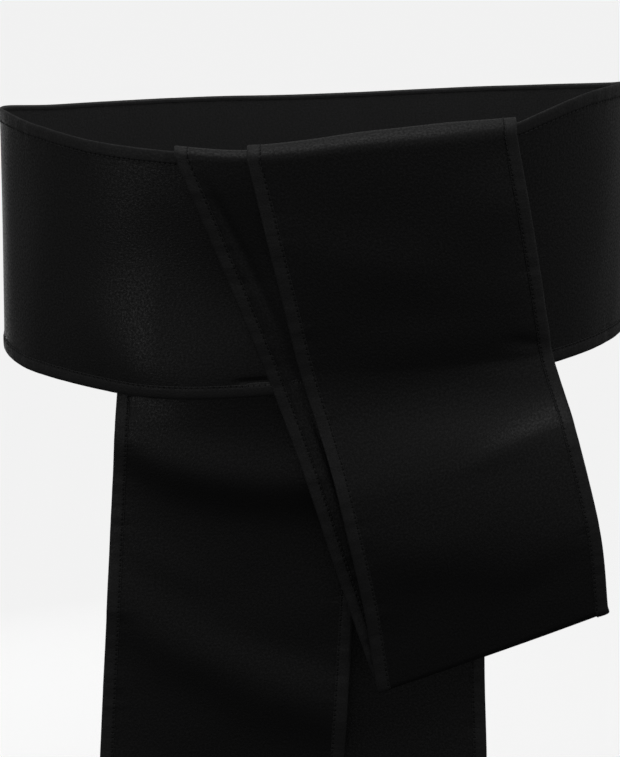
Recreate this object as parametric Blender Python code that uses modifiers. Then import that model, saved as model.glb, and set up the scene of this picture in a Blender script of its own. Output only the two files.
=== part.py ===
"""A black satin sash, worn round a waist and tied in a half bow at the front.

The sash is one long bound strip, 100 mm wide. A waist stretch goes round the wearer. The rest is tied in
front of it: a tail rises inside the waist stretch, folds over its top edge, comes down as the under leaf of
the loop, folds up again as the top leaf, goes over the top edge once more and hangs inside as the second
tail. Each stretch that shows is a panel with a binding along each long edge.

Metres, +Z up, +X to the viewer's right, +Y away from the viewer. The origin is the centre of the waist
stretch at its mid-height, where the wearer's body holds it.
"""

from collections import namedtuple

import bmesh
import bpy
import numpy as np

MM = 0.001

# Cloth
SASH_WIDTH = 100.0 * MM
BINDING_WIDTH = 5.7 * MM
PANEL_THICKNESS = 1.1 * MM
BINDING_THICKNESS = 1.5 * MM
SEAM_GAP = 0.3 * MM
LAYER_PITCH = BINDING_THICKNESS + SEAM_GAP

# The waist stretch in plan: an oval that leans out a little at the top of the front and flares at the sides
WAIST_HALF_WIDTH = 131.0 * MM
WAIST_HALF_DEPTH = 92.0 * MM
SIDE_FLARE = 0.8 * MM
FRONT_LEAN = 3.5 * MM
WAIST_SEAM_BEARING = 16.0
WAIST_STEPS = 72
WAIST_ROWS_ACROSS = 4
WIDEST_FRONT_SHARE = 0.97

# The loop and the tails. A fade is a pair: where it starts and where it ends.
TOP_FOLD_CLEARANCE = 0.1 * MM
FOLD_STEPS = 8
STRIP_COLUMNS = 8
LOOP_SPACING = 2.8 * MM
TOP_LEAF_FREE_DROP = 14.0 * MM
UNDER_LEAF_FREE_DROP = 17.0 * MM
BOTTOM_FOLD_LEFT = 1.5 * MM
BOTTOM_FOLD_RIGHT = 3.0 * MM
BOTTOM_FOLD_TILT = 19.0
LEAF_STEPS = 28
PAST_UNDER_LEAF_X = (55.0 * MM, 67.0 * MM)
SECOND_LAYER_SHARE = (0.02, 0.16)
LOOP_OPENING_SHARE = (0.55, 1.0)
TAIL_WALL_STEPS = 11
TAIL_FREE_STEPS = 33
TAIL_FREE_DROP = 12.0 * MM
INNER_LAYER_SHARE = (0.03, 0.25)

# Heights of the waist stretch's two edges round the wearer, in mm. Bearing: degrees from the front to the
# viewer's right.
WaistRow = namedtuple("WaistRow", "bearing top bottom")
WAIST = [
    WaistRow(-180, 28.5, -71.0),
    WaistRow(-150, 29.0, -71.0),
    WaistRow(-120, 33.0, -67.0),
    WaistRow(-92, 41.0, -61.5),
    WaistRow(-75, 44.6, -61.0),
    WaistRow(-57, 44.4, -60.5),
    WaistRow(-40, 42.3, -60.0),
    WaistRow(-25, 41.6, -58.6),
    WaistRow(-11, 41.3, -56.2),
    WaistRow(-2, 43.6, -54.8),
    WaistRow(8, 46.8, -53.8),
    WaistRow(15, 48.0, -53.3),
    WaistRow(24, 49.2, -52.8),
    WaistRow(33, 50.2, -52.4),
    WaistRow(37, 50.6, -52.2),
    WaistRow(42, 53.2, -51.9),
    WaistRow(54, 57.6, -50.8),
    WaistRow(70, 57.4, -50.6),
    WaistRow(85, 54.0, -51.5),
    WaistRow(105, 47.0, -55.0),
    WaistRow(140, 36.5, -64.5),
]

# Sections of the hanging loop's front face below the waist stretch, in mm: the ends of the section and how
# far its middle bows toward the viewer.
SectionRow = namedtuple("SectionRow", "z left_x left_y right_x right_y bow")
LOOP_HANG = [
    SectionRow(-180, 26.5, -99.5, 122.0, -86.5, 1.0),
    SectionRow(-140, 19.8, -102.4, 119.4, -89.0, 1.5),
    SectionRow(-110, 13.4, -104.0, 113.9, -90.4, 2.5),
    SectionRow(-90, 8.6, -103.0, 109.0, -88.0, 3.0),
    SectionRow(-75, 4.6, -100.5, 105.6, -82.0, 3.5),
    SectionRow(-60, -0.7, -97.0, 101.6, -73.5, 4.5),
    SectionRow(-45, -5.0, -93.5, 96.5, -64.0, 6.5),
]
FRONT_TAIL_HANG = [
    SectionRow(-520, -99.0, -83.0, 1.5, -85.5, 1.0),
    SectionRow(-400, -96.0, -83.0, 4.5, -86.0, 1.0),
    SectionRow(-300, -93.6, -82.5, 8.0, -86.5, 1.2),
    SectionRow(-220, -89.8, -81.5, 12.4, -87.0, 1.5),
    SectionRow(-158, -85.8, -79.0, 15.8, -87.0, 2.0),
    SectionRow(-90, -81.4, -73.5, 19.4, -86.5, 4.5),
    SectionRow(-55, -79.0, -69.0, 21.4, -85.0, 7.0),
]
BACK_TAIL_HANG = [
    SectionRow(-490, -25.0, -81.0, 75.0, -80.5, 1.0),
    SectionRow(-360, -26.5, -81.0, 73.8, -81.0, 1.0),
    SectionRow(-218, -28.0, -80.0, 72.4, -80.5, 1.0),
    SectionRow(-176, -29.4, -79.0, 70.8, -78.5, 1.5),
    SectionRow(-90, -29.6, -79.0, 71.0, -73.5, 3.0),
    SectionRow(-50, -29.0, -80.0, 71.6, -70.5, 5.0),
]

# The outlines of the two leaves, from the top fold (0) to the bottom fold (1), in mm
LeafRow = namedtuple("LeafRow", "share left_x left_z right_x right_z")
TOP_LEAF = [
    LeafRow(0.00, -25.6, 41.4, 78.0, 50.8),
    LeafRow(0.25, -12.9, -13.0, 88.3, 1.5),
    LeafRow(0.42, -3.9, -50.5, 94.2, -32.0),
    LeafRow(0.50, 1.9, -68.5, 97.0, -48.0),
    LeafRow(0.58, 7.4, -86.5, 102.0, -63.5),
    LeafRow(0.68, 12.6, -108.0, 107.8, -83.5),
    LeafRow(0.84, 20.2, -143.0, 115.3, -115.0),
    LeafRow(1.00, 25.6, -177.6, 119.2, -145.4),
]
UNDER_LEAF = [
    LeafRow(0.00, -53.7, 41.6, 50.5, 49.2),
    LeafRow(0.42, -17.4, -50.5, 79.5, -32.5),
    LeafRow(0.58, -4.3, -86.5, 90.0, -63.5),
    LeafRow(0.80, 10.6, -133.8, 105.5, -106.5),
    LeafRow(1.00, 25.6, -177.6, 119.2, -145.4),
]

# Each tail inside the waist stretch, from the fold over its top edge down to its bottom edge, in mm
InnerRow = namedtuple("InnerRow", "left_x right_x")
FRONT_TAIL_INNER = [InnerRow(-53.7, 50.5), InnerRow(-79.0, 21.4)]
BACK_TAIL_INNER = [InnerRow(-25.6, 78.0), InnerRow(-29.0, 71.6)]
FRONT_TAIL_DROP = 460.0 * MM
BACK_TAIL_DROP = 430.0 * MM
TAIL_START_BELOW_FOLD = 1.5 * MM

# Soft waves across each hanging tail, in mm: the crest's height at each edge, how far its middle sags, the
# wave's half width and how far it stands out
WaveRow = namedtuple("WaveRow", "left_z right_z sag width depth")
FRONT_TAIL_WAVES = [
    WaveRow(-75, -84, 9, 14, 3.4),
    WaveRow(-148, -196, 4, 17, 2.2),
    WaveRow(-236, -290, 3, 24, 1.4),
    WaveRow(-352, -336, 4, 30, 1.5),
    WaveRow(-440, -462, 2, 26, 1.1),
]
BACK_TAIL_WAVES = [
    WaveRow(-110, -92, 3, 16, 0.8),
    WaveRow(-242, -226, 2, 20, 1.2),
    WaveRow(-318, -350, 3, 28, 1.3),
    WaveRow(-425, -410, 2, 24, 0.9),
]

Cloth = namedtuple("Cloth", "name colour roughness sheen")
SATIN = Cloth("sash_satin", (0.006, 0.006, 0.007), 0.42, 0.2)
BINDING_SATIN = Cloth("sash_binding", (0.007, 0.007, 0.008), 0.5, 0.2)


def smooth_curve(at, values, x):
    """A smooth curve through (at, values): cubic pieces whose slopes are the mean of their neighbours'."""
    at = np.asarray(at, float)
    values = np.asarray(values, float)
    step = np.diff(at)
    slope = np.diff(values) / step
    tangent = np.empty_like(values)
    tangent[1:-1] = (slope[:-1] * step[1:] + slope[1:] * step[:-1]) / (step[1:] + step[:-1])
    tangent[0] = slope[0]
    tangent[-1] = slope[-1]
    x = np.clip(x, at[0], at[-1])
    i = np.clip(np.searchsorted(at, x, side="right") - 1, 0, len(step) - 1)
    t = (x - at[i]) / step[i]
    rise = values[i + 1] - values[i]
    a = step[i] * tangent[i]
    b = step[i] * tangent[i + 1]
    return values[i] + t * (a + t * (3 * rise - 2 * a - b + t * (a + b - 2 * rise)))


def ease(x, start, end):
    """0 before start, 1 after end, and a smooth S between."""
    t = np.clip((x - start) / (end - start), 0, 1)
    return t * t * (3 - 2 * t)


def between(a, b, share):
    return a + (b - a) * share


def waist_edge(bearing, column):
    """The height of the waist stretch's top or bottom edge at a bearing in degrees."""
    rows = WAIST[-3:] + WAIST + WAIST[:3]
    turns = [-360] * 3 + [0] * len(WAIST) + [360] * 3
    at = [row.bearing + turn for row, turn in zip(rows, turns)]
    heights = [getattr(row, column) for row in rows]
    wrapped = (np.asarray(bearing) + 180) % 360 - 180
    return smooth_curve(at, heights, wrapped) * MM


def lean_at(z, cosine):
    return FRONT_LEAN * z / (SASH_WIDTH / 2) * (1 + cosine) / 2


def half_width_at(z):
    return WAIST_HALF_WIDTH - SIDE_FLARE * z / (SASH_WIDTH / 2)


def waist_point(bearing, z, out=0.0):
    """A point of the oval wall at a bearing and height, moved out from it."""
    angle = np.radians(bearing)
    cosine = np.cos(angle)
    x = (half_width_at(z) + out) * np.sin(angle)
    y = -(WAIST_HALF_DEPTH + lean_at(z, cosine) + out) * cosine
    return np.stack(np.broadcast_arrays(x, y, z), axis=-1)


def wall_depth(x, z, out):
    """How far back the front half of the same wall lies at x and z."""
    share = np.clip(x / (half_width_at(z) + out), -WIDEST_FRONT_SHARE, WIDEST_FRONT_SHARE)
    cosine = np.sqrt(1 - share**2)
    return -(WAIST_HALF_DEPTH + lean_at(z, cosine) + out) * cosine


def bearing_of(x):
    return np.degrees(np.arcsin(np.clip(x / WAIST_HALF_WIDTH, -WIDEST_FRONT_SHARE, WIDEST_FRONT_SHARE)))


def section_depth(rows, x, z):
    """The depth of a hanging section: straight from its left end to its right end, plus a bow."""
    at = [row.z * MM for row in rows]
    left_x, left_y, right_x, right_y, bow = (
        smooth_curve(at, [getattr(row, name) * MM for row in rows], z)
        for name in ("left_x", "left_y", "right_x", "right_y", "bow")
    )
    share = (x - left_x) / (right_x - left_x)
    return between(left_y, right_y, share) - bow * 4 * share * (1 - share)


def loop_layer(x, down):
    """The top leaf's layer: second over the under leaf, first where the fold passes the under leaf's edge."""
    past = ease(x, *PAST_UNDER_LEAF_X) * (1 - ease(down, *SECOND_LAYER_SHARE))
    return 2 - past


def leaf_outline(rows, share, across):
    """x and z on a leaf, across from its left edge (0) to its right edge (1), down from its top fold."""
    at = [row.share for row in rows]
    left_x, left_z, right_x, right_z = (
        smooth_curve(at, [getattr(row, name) * MM for row in rows], share)
        for name in ("left_x", "left_z", "right_x", "right_z")
    )
    x = between(left_x, right_x, across)
    z = between(left_z, right_z, across)
    first_x = between(rows[0].left_x, rows[0].right_x, across) * MM
    first_z = between(rows[0].left_z, rows[0].right_z, across) * MM
    edge_z = waist_edge(bearing_of(first_x), "top") + TOP_FOLD_CLEARANCE
    return x, z + (edge_z - first_z) * (1 - share) ** 2


def free_share(x, z, drop):
    """0 on the wall, 1 once a point hangs this far below the wall's bottom edge."""
    below = waist_edge(bearing_of(x), "bottom") - z
    return ease(below, 0.0, drop)


def bottom_fold_radius(across):
    return between(BOTTOM_FOLD_LEFT, BOTTOM_FOLD_RIGHT, across)


def top_leaf_front(share, across):
    x, z = leaf_outline(TOP_LEAF, share, across)
    free = free_share(x, z, TOP_LEAF_FREE_DROP)
    out = loop_layer(x, share) * LAYER_PITCH
    y = between(wall_depth(x, z, out), section_depth(LOOP_HANG, x, z), free)
    return np.stack([x, y, z], axis=-1)


def under_leaf_front(share, across):
    x, z = leaf_outline(UNDER_LEAF, share, across)
    free = free_share(x, z, UNDER_LEAF_FREE_DROP)
    spacing = between(LOOP_SPACING, 2 * bottom_fold_radius(across), ease(share, *LOOP_OPENING_SHARE))
    y = between(wall_depth(x, z, LAYER_PITCH), section_depth(LOOP_HANG, x, z) + spacing, free)
    return np.stack([x, y, z], axis=-1)


def over_top_edge(front, radius, turn):
    """The fold over the waist stretch's top edge: a half turn from the front face to the inside."""
    x = front[..., 0]
    z = front[..., 2] + radius * np.sin(turn)
    return np.stack([x, wall_depth(x, z, radius * np.cos(turn)), z], axis=-1)


def under_bottom_fold(front, across, turn):
    """The loop's bottom fold: a half turn from the top leaf's last row back to the under leaf."""
    radius = bottom_fold_radius(across)
    tilt = np.radians(BOTTOM_FOLD_TILT)
    x = front[..., 0] + radius * np.sin(turn) * np.sin(tilt)
    y = front[..., 1] + radius * (1 - np.cos(turn))
    z = front[..., 2] - radius * np.sin(turn) * np.cos(tilt)
    return np.stack([x, y, z], axis=-1)


def top_leaf_surface(down, across):
    """down: -1 to 0 is the top fold, 0 to 1 the front face, 1 to 2 the bottom fold."""
    front = top_leaf_front(np.clip(down, 0, 1), across)
    radius = loop_layer(front[..., 0], 0.0) * LAYER_PITCH
    top = over_top_edge(front, radius, np.pi * np.clip(-down, 0, 1))
    bottom = under_bottom_fold(front, across, np.pi * np.clip(down - 1, 0, 1))
    down = down[..., None]
    return np.where(down < 0, top, np.where(down > 1, bottom, front))


def under_leaf_surface(down, across):
    """down: -1 to 0 is the top fold, 0 to 1 the face."""
    front = under_leaf_front(np.clip(down, 0, 1), across)
    top = over_top_edge(front, LAYER_PITCH, np.pi * np.clip(-down, 0, 1))
    return np.where(down[..., None] < 0, top, front)


def wave_height(rows, share, z):
    """Soft waves across a tail: the sum of bell curves, each round a crest line that sags in its middle."""
    height = np.zeros(np.broadcast(share, z).shape)
    for row in rows:
        crest = between(row.left_z, row.right_z, share) - row.sag * 4 * share * (1 - share)
        height = height + row.depth * MM * np.exp(-(((z / MM - crest) / row.width) ** 2))
    return height


def tail_surface(inner, hang, drop, layer, start_layer, waves):
    """A tail from inside the waist stretch's top edge, down its wall and then free to the tail's end.

    down: 0 to 1 runs down the wall, 1 to 2 hangs free.
    """

    def surface(down, across):
        inside = np.clip(down, 0, 1)
        left_x = between(inner[0].left_x, inner[1].left_x, inside) * MM
        right_x = between(inner[0].right_x, inner[1].right_x, inside) * MM
        x = between(left_x, right_x, across)
        bearing = bearing_of(x)
        first_x = between(inner[0].left_x, inner[0].right_x, across) * MM
        last_x = between(inner[1].left_x, inner[1].right_x, across) * MM
        top = waist_edge(bearing_of(first_x), "top") - TAIL_START_BELOW_FOLD
        bottom = waist_edge(bearing_of(last_x), "bottom")
        end = hang[-1].z * MM - drop
        z = np.where(down <= 1, between(top, bottom, inside), between(bottom, end, np.clip(down - 1, 0, 1)))
        at = [row.z * MM for row in hang]
        free_left = smooth_curve(at, [row.left_x * MM for row in hang], z)
        free_right = smooth_curve(at, [row.right_x * MM for row in hang], z)
        x = np.where(down <= 1, x, between(free_left, free_right, across))
        at_layer = between(start_layer(x), layer, ease(down, *INNER_LAYER_SHARE))
        on_wall = wall_depth(x, z, -at_layer * LAYER_PITCH)
        free = free_share(x, z, TAIL_FREE_DROP)
        y = between(on_wall, section_depth(hang, x, z) - wave_height(waves, across, z), free)
        return np.stack([x, y, z], axis=-1)

    return surface


def first_layer(x):
    return 1.0 + 0 * x


def top_leaf_inner_layer(x):
    return loop_layer(x, 0.0)


def satin(kind):
    """A plain satin: near black, with a soft cloth sheen."""
    material = bpy.data.materials.new(kind.name)
    material.use_nodes = True
    shader = material.node_tree.nodes["Principled BSDF"]
    shader.inputs["Base Color"].default_value = (*kind.colour, 1)
    shader.inputs["Roughness"].default_value = kind.roughness
    shader.inputs["Metallic"].default_value = 0.0
    shader.inputs["Sheen Weight"].default_value = kind.sheen
    material.diffuse_color = (*kind.colour, 1)
    return material


def cloth(name, surface, rows, columns, thickness, material, collection):
    """A wall of cloth: a grid laid on a surface and given its thickness to both sides."""
    grid = bmesh.new()
    bmesh.ops.create_grid(grid, x_segments=len(columns) - 1, y_segments=len(rows) - 1, size=0.5)
    down, across = np.meshgrid(np.asarray(rows, float), np.asarray(columns, float), indexing="ij")
    points = surface(down, across).reshape(-1, 3)
    ordered = sorted(grid.verts, key=lambda vert: (round(vert.co.y, 6), round(vert.co.x, 6)))
    for vert, point in zip(ordered, points):
        vert.co = point
    bmesh.ops.recalc_face_normals(grid, faces=grid.faces)
    mesh = bpy.data.meshes.new(name)
    grid.to_mesh(mesh)
    grid.free()
    mesh.shade_smooth()
    mesh.materials.append(material)
    piece = bpy.data.objects.new(name, mesh)
    collection.objects.link(piece)
    wall = piece.modifiers.new("cloth", "SOLIDIFY")
    wall.thickness = thickness
    wall.offset = 0.0
    wall.use_even_offset = True
    return piece


def across_shares(start, end, count):
    return np.linspace(start, end, count + 1)


def waist_strip(top_inset, bottom_inset, line="both"):
    """A strip of the wall, between insets from the waist stretch's edges. across is a bearing in degrees.

    line names the edge that both insets are measured from, or "both" for each from its own edge.
    """

    def surface(down, across):
        upper = waist_edge(across, "bottom" if line == "bottom" else "top")
        lower = waist_edge(across, "top" if line == "top" else "bottom")
        return waist_point(across, between(upper - top_inset, lower - bottom_inset, down))

    return surface


def make_waist(collection, panel, edge):
    """The waist stretch, whose two ends meet in a seam under the loop."""
    gap = np.degrees(SEAM_GAP / 2 / WAIST_HALF_WIDTH)
    bearings = np.linspace(WAIST_SEAM_BEARING + gap, WAIST_SEAM_BEARING + 360 - gap, WAIST_STEPS + 1)
    inset = BINDING_WIDTH + SEAM_GAP
    band = waist_strip(inset, -inset)
    top = waist_strip(0.0, BINDING_WIDTH, "top")
    bottom = waist_strip(-BINDING_WIDTH, 0.0, "bottom")
    panel_rows = np.linspace(0, 1, WAIST_ROWS_ACROSS + 1)
    cloth("waist_band", band, panel_rows, bearings, PANEL_THICKNESS, panel, collection)
    cloth("waist_top_binding", top, [0, 1], bearings, BINDING_THICKNESS, edge, collection)
    cloth("waist_bottom_binding", bottom, [0, 1], bearings, BINDING_THICKNESS, edge, collection)


def make_strip(name, surface, rows, collection, panel, edge):
    """A panel with a binding along each long edge."""
    bound = BINDING_WIDTH / SASH_WIDTH
    clear = (BINDING_WIDTH + SEAM_GAP) / SASH_WIDTH
    columns = across_shares(clear, 1 - clear, STRIP_COLUMNS)
    cloth(name, surface, rows, columns, PANEL_THICKNESS, panel, collection)
    left = across_shares(0, bound, 1)
    right = across_shares(1 - bound, 1, 1)
    cloth(name + "_left_binding", surface, rows, left, BINDING_THICKNESS, edge, collection)
    cloth(name + "_right_binding", surface, rows, right, BINDING_THICKNESS, edge, collection)


def fold_rows(start):
    """Rows round a fold's half turn, which takes up one unit of down."""
    return np.linspace(start, start + 1, FOLD_STEPS + 1)


def make_loop(collection, panel, edge):
    """The loop's two leaves. The top leaf has both of its folds, and the under leaf its own top fold."""
    face = np.linspace(0, 1, LEAF_STEPS + 1)
    top_rows = np.concatenate([fold_rows(-1)[:-1], face, fold_rows(1)[1:]])
    make_strip("loop_top_leaf", top_leaf_surface, top_rows, collection, panel, edge)
    leaf_length = (UNDER_LEAF[0].left_z - UNDER_LEAF[-1].left_z) * MM
    last = 1 - SEAM_GAP / leaf_length
    under_rows = np.concatenate([fold_rows(-1)[:-1], face * last])
    make_strip("loop_under_leaf", under_leaf_surface, under_rows, collection, panel, edge)


def make_tail(name, surface, drop, collection, panel, edge):
    """A tail with its side bindings and the binding across its end."""
    wall_rows = np.linspace(0, 1, TAIL_WALL_STEPS + 1)
    bound = BINDING_WIDTH / drop
    clear = (BINDING_WIDTH + SEAM_GAP) / drop
    free_rows = 1 + np.linspace(0, 1 - clear, TAIL_FREE_STEPS + 1)[1:]
    rows = np.concatenate([wall_rows, free_rows])
    make_strip(name, surface, rows, collection, panel, edge)
    end_rows = [2 - bound, 2]
    columns = across_shares(0, 1, STRIP_COLUMNS)
    cloth(name + "_end_binding", surface, end_rows, columns, BINDING_THICKNESS, edge, collection)


def main():
    for thing in list(bpy.data.objects):
        bpy.data.objects.remove(thing, do_unlink=True)
    collection = bpy.data.collections.new("satin_sash")
    bpy.context.scene.collection.children.link(collection)
    panel = satin(SATIN)
    edge = satin(BINDING_SATIN)
    make_waist(collection, panel, edge)
    make_loop(collection, panel, edge)
    front = tail_surface(
        FRONT_TAIL_INNER, FRONT_TAIL_HANG, FRONT_TAIL_DROP, 1, first_layer, FRONT_TAIL_WAVES
    )
    back = tail_surface(
        BACK_TAIL_INNER, BACK_TAIL_HANG, BACK_TAIL_DROP, 2, top_leaf_inner_layer, BACK_TAIL_WAVES
    )
    make_tail("front_tail", front, FRONT_TAIL_DROP, collection, panel, edge)
    make_tail("back_tail", back, BACK_TAIL_DROP, collection, panel, edge)


main()
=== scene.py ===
"""A black satin sash, worn round a waist and tied in a half bow: its fine cloth, bindings and topstitching.

Every stretch of the sash is a strip: a surface of two parameters, along the strip and across it. A panel, the
bindings folded over its edges and each stitch are laid on that surface. Metres, +Z up, +X to the viewer's right.
"""

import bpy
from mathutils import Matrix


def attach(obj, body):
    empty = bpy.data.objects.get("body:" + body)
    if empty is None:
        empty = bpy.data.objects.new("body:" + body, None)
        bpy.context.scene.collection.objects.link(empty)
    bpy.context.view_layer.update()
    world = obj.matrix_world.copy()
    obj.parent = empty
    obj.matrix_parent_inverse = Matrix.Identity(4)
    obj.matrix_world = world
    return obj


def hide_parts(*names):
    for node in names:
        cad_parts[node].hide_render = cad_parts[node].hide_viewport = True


bl_info = {
    "name": "Satin Sash",
    "version": (1, 0, 0),
    "blender": (4, 5, 0),
    "location": "3D View > Sidebar > Sash",
    "description": "Adds the cloth, bindings and stitching of a satin sash, and a plain studio round it",
    "category": "Add Mesh",
}

from collections import namedtuple

import bpy
import numpy as np

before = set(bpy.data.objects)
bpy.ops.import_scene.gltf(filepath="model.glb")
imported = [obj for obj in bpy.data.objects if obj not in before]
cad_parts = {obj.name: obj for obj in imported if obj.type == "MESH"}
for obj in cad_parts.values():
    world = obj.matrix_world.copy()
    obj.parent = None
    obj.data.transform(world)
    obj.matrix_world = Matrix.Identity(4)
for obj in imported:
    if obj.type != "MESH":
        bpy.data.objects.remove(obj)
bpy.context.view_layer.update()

MM = 0.001
BODY = "root"
UV_NAME = "cloth"

# The sash as cut and worn
SASH_WIDTH = 100.0 * MM
SEAM_GAP = 0.3 * MM
LAYER_PITCH = 1.8 * MM
WAIST_HALF_WIDTH = 131.0 * MM
WAIST_HALF_DEPTH = 92.0 * MM
SIDE_FLARE = 0.8 * MM
FRONT_LEAN = 2.0 * MM
WAIST_SEAM_BEARING = 16.0
WIDEST_FRONT_SHARE = 0.97
TOP_FOLD_CLEARANCE = 0.1 * MM
LOOP_SPACING = 3.0 * MM
LOOP_BELLY = 7.5 * MM
LEAF_SWEEP_START = (-24.0 * MM, -28.0 * MM)
LEAF_SWEEP_END = (44.0 * MM, 24.0 * MM)
TOP_LEAF_ROLL = (2.4 * MM, 4.2 * MM)
UNDER_LEAF_ROLL = (2.5 * MM, 1.8 * MM)
TOP_LEAF_ROLL_REACH = 170.0 * MM
UNDER_LEAF_ROLL_REACH = 52.0 * MM
TOP_LEAF_ROLL_DROP = (0.6 * MM, 3.0 * MM)
UNDER_LEAF_ROLL_DROP = (0.6 * MM, 0.6 * MM)
BOTTOM_FOLD_LEFT = 1.5 * MM
BOTTOM_FOLD_RIGHT = 3.0 * MM
BOTTOM_FOLD_TILT = 19.0
PAST_UNDER_LEAF_X = (46.0 * MM, 84.0 * MM)
SECOND_LAYER_SHARE = (0.02, 0.16)
LOOP_OPENING_LEFT = (0.34, 0.62)
LOOP_OPENING_RIGHT = (0.50, 0.82)
LOOP_CLOSING_SHARE = (0.80, 1.0)
TAIL_FREE_DROP = 12.0 * MM
INNER_LAYER_SHARE = (0.03, 0.25)
FRONT_TAIL_DROP = 460.0 * MM
BACK_TAIL_DROP = 430.0 * MM
TAIL_START_BELOW_FOLD = 1.5 * MM

# Heights of the waist stretch's two edges round the wearer, in mm. Bearing: degrees from the front to the
# viewer's right.
WaistRow = namedtuple("WaistRow", "bearing top bottom")
WAIST = [
    WaistRow(-180, 28.5, -71.0),
    WaistRow(-150, 29.0, -71.0),
    WaistRow(-120, 33.0, -67.0),
    WaistRow(-92, 41.0, -61.5),
    WaistRow(-75, 44.6, -61.0),
    WaistRow(-57, 44.4, -60.5),
    WaistRow(-40, 42.3, -60.0),
    WaistRow(-25, 41.6, -58.6),
    WaistRow(-11, 41.3, -56.2),
    WaistRow(-2, 43.6, -54.8),
    WaistRow(8, 46.8, -53.8),
    WaistRow(15, 48.0, -53.3),
    WaistRow(24, 49.2, -52.8),
    WaistRow(33, 50.2, -52.4),
    WaistRow(37, 50.6, -52.2),
    WaistRow(42, 53.2, -51.9),
    WaistRow(54, 57.6, -50.8),
    WaistRow(70, 57.4, -50.6),
    WaistRow(85, 54.0, -51.5),
    WaistRow(105, 47.0, -55.0),
    WaistRow(140, 36.5, -64.5),
]

# Sections of the hanging cloth below the waist stretch, in mm: the ends of the section and how far its middle
# bows toward the viewer
SectionRow = namedtuple("SectionRow", "z left_x left_y right_x right_y bow")
LOOP_HANG = [
    SectionRow(-180, 26.5, -99.5, 122.0, -86.5, 1.0),
    SectionRow(-140, 19.8, -102.4, 119.4, -89.0, 1.5),
    SectionRow(-110, 13.4, -104.0, 113.9, -90.4, 2.5),
    SectionRow(-90, 8.6, -103.0, 109.0, -87.3, 3.0),
    SectionRow(-75, 4.6, -100.5, 105.6, -83.0, 3.5),
    SectionRow(-60, -0.7, -97.0, 101.6, -73.5, 4.5),
    SectionRow(-45, -5.0, -93.5, 96.5, -64.0, 6.5),
]
FRONT_TAIL_HANG = [
    SectionRow(-520, -99.0, -83.0, 1.5, -85.5, 1.0),
    SectionRow(-400, -96.0, -82.5, 4.5, -86.0, 1.0),
    SectionRow(-300, -93.6, -81.0, 8.0, -86.5, 1.2),
    SectionRow(-220, -89.8, -78.5, 12.4, -87.0, 1.5),
    SectionRow(-158, -85.8, -75.5, 15.8, -87.0, 2.0),
    SectionRow(-90, -81.4, -72.2, 19.4, -86.5, 4.5),
    SectionRow(-55, -79.0, -71.8, 21.4, -86.0, 7.0),
]
BACK_TAIL_HANG = [
    SectionRow(-490, -25.0, -81.0, 75.0, -80.5, 1.0),
    SectionRow(-360, -26.5, -81.0, 73.8, -81.0, 1.0),
    SectionRow(-218, -28.0, -80.0, 72.4, -80.5, 1.0),
    SectionRow(-176, -29.4, -79.0, 70.8, -78.5, 1.5),
    SectionRow(-90, -29.6, -79.0, 71.0, -73.5, 3.0),
    SectionRow(-50, -29.0, -80.0, 71.6, -70.5, 5.0),
]

# The outlines of the two leaves, from the top fold (0) to the bottom fold (1), in mm
LeafRow = namedtuple("LeafRow", "share left_x left_z right_x right_z")
TOP_LEAF = [
    LeafRow(0.00, -25.6, 41.4, 78.0, 50.8),
    LeafRow(0.25, -12.9, -13.0, 88.3, 1.5),
    LeafRow(0.42, -3.9, -50.5, 94.2, -32.0),
    LeafRow(0.50, 1.9, -68.5, 97.0, -48.0),
    LeafRow(0.58, 7.4, -86.5, 102.0, -63.5),
    LeafRow(0.68, 12.6, -108.0, 107.8, -83.5),
    LeafRow(0.84, 20.2, -143.6, 115.6, -115.6),
    LeafRow(1.00, 25.6, -178.9, 119.6, -146.8),
]
UNDER_LEAF = [
    LeafRow(0.00, -53.7, 41.6, 50.5, 49.2),
    LeafRow(0.42, -17.4, -50.5, 79.5, -32.5),
    LeafRow(0.58, -4.3, -86.5, 90.0, -63.5),
    LeafRow(0.80, 10.6, -133.8, 105.5, -106.5),
    LeafRow(1.00, 25.6, -178.9, 119.6, -146.8),
]

# Each tail inside the waist stretch, from the fold over its top edge down to its bottom edge, in mm
InnerRow = namedtuple("InnerRow", "left_x right_x")
FRONT_TAIL_INNER = [InnerRow(-53.7, 50.5), InnerRow(-79.0, 21.4)]
BACK_TAIL_INNER = [InnerRow(-25.6, 78.0), InnerRow(-29.0, 71.6)]

# Soft waves across a hanging tail, in mm: the crest's height at each edge, how far its middle sags, the
# wave's half width and how far it stands out
WaveRow = namedtuple("WaveRow", "left_z right_z sag width depth")
FRONT_TAIL_WAVES = [
    WaveRow(-78, -88, 10, 12.5, 2.7),
    WaveRow(-148, -196, 4, 17, 2.4),
    WaveRow(-236, -290, 3, 24, 1.4),
    WaveRow(-352, -336, 4, 30, 1.5),
    WaveRow(-440, -462, 2, 26, 1.1),
]
BACK_TAIL_WAVES = [
    WaveRow(-110, -92, 3, 16, 0.8),
    WaveRow(-242, -226, 2, 20, 1.2),
    WaveRow(-318, -350, 3, 28, 1.3),
    WaveRow(-425, -410, 2, 24, 0.9),
]

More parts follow.
